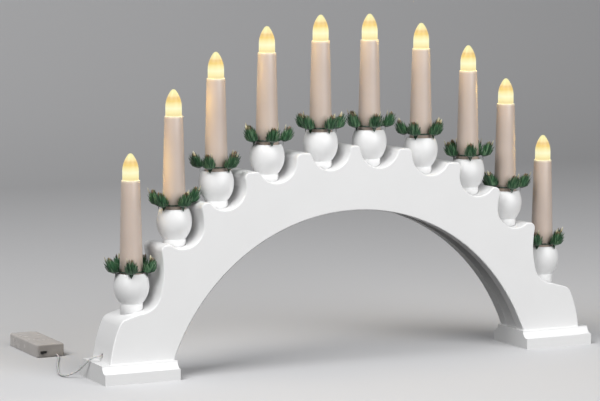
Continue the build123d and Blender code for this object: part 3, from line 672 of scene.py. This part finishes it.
def strand(bm, line, start):
    """One thin sleeved wire wound round a line."""
    sides = 8
    offset = LEAD_DIAMETER / 2 - STRAND_RADIUS
    rings = []
    for k, point in enumerate(line):
        along = (line[min(k + 1, len(line) - 1)] - line[max(k - 1, 0)]).normalized()
        across = along.cross(UP).normalized()
        up = across.cross(along)
        twist = start + 2 * math.pi * k * STRAND_STEP / STRAND_PITCH
        middle = point + (across * math.cos(twist) + up * math.sin(twist)) * offset
        ring = []
        for s in range(sides):
            turn = 2 * math.pi * s / sides
            away = across * math.cos(turn) + up * math.sin(turn)
            ring.append(bm.verts.new(middle + away * STRAND_RADIUS))
        rings.append(ring)
    bm.faces.new(list(reversed(rings[0])))
    bm.faces.new(rings[-1])
    for lower, upper in zip(rings, rings[1:]):
        for s in range(sides):
            n = (s + 1) % sides
            bm.faces.new((lower[s], lower[n], upper[n], upper[s]))


def lead(material):
    """Two wires twisted round one line, with the battery box at the far end."""
    line, length = even_line(lead_line(), STRAND_STEP)
    bm = bmesh.new()
    strand(bm, line, 0)
    strand(bm, line, math.pi)
    piece = put("twisted_lead", mesh_of("twisted_lead", bm))
    piece.data.materials.append(material)
    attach(piece, "arch")
    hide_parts("lead_cord")


def dress(node, material):
    """Gives a part of the frame its finish."""
    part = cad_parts[node]
    part.data.materials.clear()
    part.data.materials.append(material)


# Stage, light and camera


def floor_finish():
    """Matt floor, pale to the eye and in reflections, dark to stray light, and clear from behind."""
    material, tree, shader = finish_of("pale_floor")
    shader.inputs["Roughness"].default_value = 0.8
    path = tree.nodes.new("ShaderNodeLightPath")
    seen = tree.nodes.new("ShaderNodeMath")
    seen.operation = "MAXIMUM"
    through = tree.nodes.new("ShaderNodeMath")
    through.operation = "MAXIMUM"
    tone = ramp_of(tree, [(0.0, (0.04, 0.04, 0.04)), (1.0, (0.66, 0.66, 0.67))])
    link = tree.links.new
    link(path.outputs["Is Camera Ray"], seen.inputs[0])
    link(path.outputs["Is Glossy Ray"], seen.inputs[1])
    link(seen.outputs["Value"], through.inputs[0])
    link(path.outputs["Is Transmission Ray"], through.inputs[1])
    link(through.outputs["Value"], tone.inputs["Fac"])
    link(tone.outputs["Color"], shader.inputs["Base Color"])
    side = tree.nodes.new("ShaderNodeNewGeometry")
    front = tree.nodes.new("ShaderNodeMath")
    front.operation = "SUBTRACT"
    front.inputs[0].default_value = 1.0
    link(side.outputs["Backfacing"], front.inputs[1])
    link(front.outputs["Value"], shader.inputs["Alpha"])
    return material


def floor():
    """Pale floor that sweeps up into a plain backdrop."""
    bm = bmesh.new()
    back = SWEEP_START + SWEEP_RADIUS
    profile = [(FLOOR_FRONT, 0.0), (SWEEP_START, 0.0)]
    for turn in SWEEP_TURNS:
        profile.append((SWEEP_START + SWEEP_RADIUS * math.sin(turn), SWEEP_RADIUS * (1 - math.cos(turn))))
    profile += [(back, SWEEP_RADIUS), (back, BACKDROP_TOP)]
    ends = (-FLOOR_HALF_WIDTH, FLOOR_HALF_WIDTH)
    rows = [[bm.verts.new((x, y, z)) for x in ends] for y, z in profile]
    for lower, upper in zip(rows, rows[1:]):
        bm.faces.new((lower[0], lower[1], upper[1], upper[0]))
    mesh = bpy.data.meshes.new("floor")
    bm.to_mesh(mesh)
    bm.free()
    mesh.polygons.foreach_set("use_smooth", [True] * len(mesh.polygons))
    sheet = put("floor", mesh)
    sheet.data.materials.append(floor_finish())


def lamp(name, place, size, watts):
    """A soft square lamp aimed at the middle of the arch."""
    data = bpy.data.lights.new(name, "AREA")
    data.size = size
    data.energy = watts
    piece = put(name, data)
    piece.location = place
    aim(piece, LAMP_TARGET)


def lights():
    """Large soft lamps in front and high on the left, and a dim plain sky."""
    for name, (place, size, watts) in LAMPS.items():
        lamp(name, place, size, watts)
    world = bpy.data.worlds.new("studio")
    world.use_nodes = True
    sky = world.node_tree.nodes["Background"]
    sky.inputs["Color"].default_value = SKY_COLOUR
    sky.inputs["Strength"].default_value = SKY_STRENGTH
    bpy.context.scene.world = world
    bpy.context.scene.view_settings.view_transform = "Standard"


def camera():
    """Camera at the photograph's place."""
    data = bpy.data.cameras.new("camera")
    data.lens = CAMERA_LENS
    data.sensor_width = SENSOR_WIDTH
    piece = put("camera", data)
    flat = CAMERA_DISTANCE * math.cos(CAMERA_ELEVATION)
    rise = CAMERA_DISTANCE * math.sin(CAMERA_ELEVATION)
    step = Vector((flat * math.sin(CAMERA_AZIMUTH), -flat * math.cos(CAMERA_AZIMUTH), rise))
    piece.location = CAMERA_TARGET + step
    aim(piece, CAMERA_TARGET)
    bpy.context.scene.camera = piece


camera()
lights()
floor()

paint = white_paint()
case = clear_plastic()
sleeve = sleeve_plastic()
lead(sleeve)
candles(paint, candle_plastic(), flame_plastic())
leaves = leaf_plastic()
for index in range(CANDLE_COUNT):
    candle_ring(index, leaves)

plug = moulded("lamp_plug_plastic", (0.66, 0.64, 0.58), (0.74, 0.72, 0.66), (0.4, 0.5))
black = moulded("black_switch_plastic", (0.012, 0.012, 0.012), (0.022, 0.022, 0.022), (0.35, 0.5))
board = moulded("circuit_board", (0.24, 0.20, 0.15), (0.32, 0.27, 0.21), (0.35, 0.5))
cell = moulded("cell_sleeve", (0.30, 0.29, 0.28), (0.38, 0.37, 0.36), (0.25, 0.35))
steel = bright_metal("plated_steel", (0.55, 0.55, 0.54), (0.70, 0.70, 0.69), (0.22, 0.34))
finishes = {
    "arch_board": paint, "foot_left": paint, "foot_right": paint, "foot_screws": steel,
    "lamp_plugs": plug, "leds": diode_plastic(), "wire_loom": sleeve,
    "battery_case": case, "switch_deck": case, "battery_cover": case,
    "switch_knob": black, "switch_body": black,
    "timer_board": board, "battery_cells": cell, "cell_contacts": steel,
}
for node, material in finishes.items():
    dress(node, material)
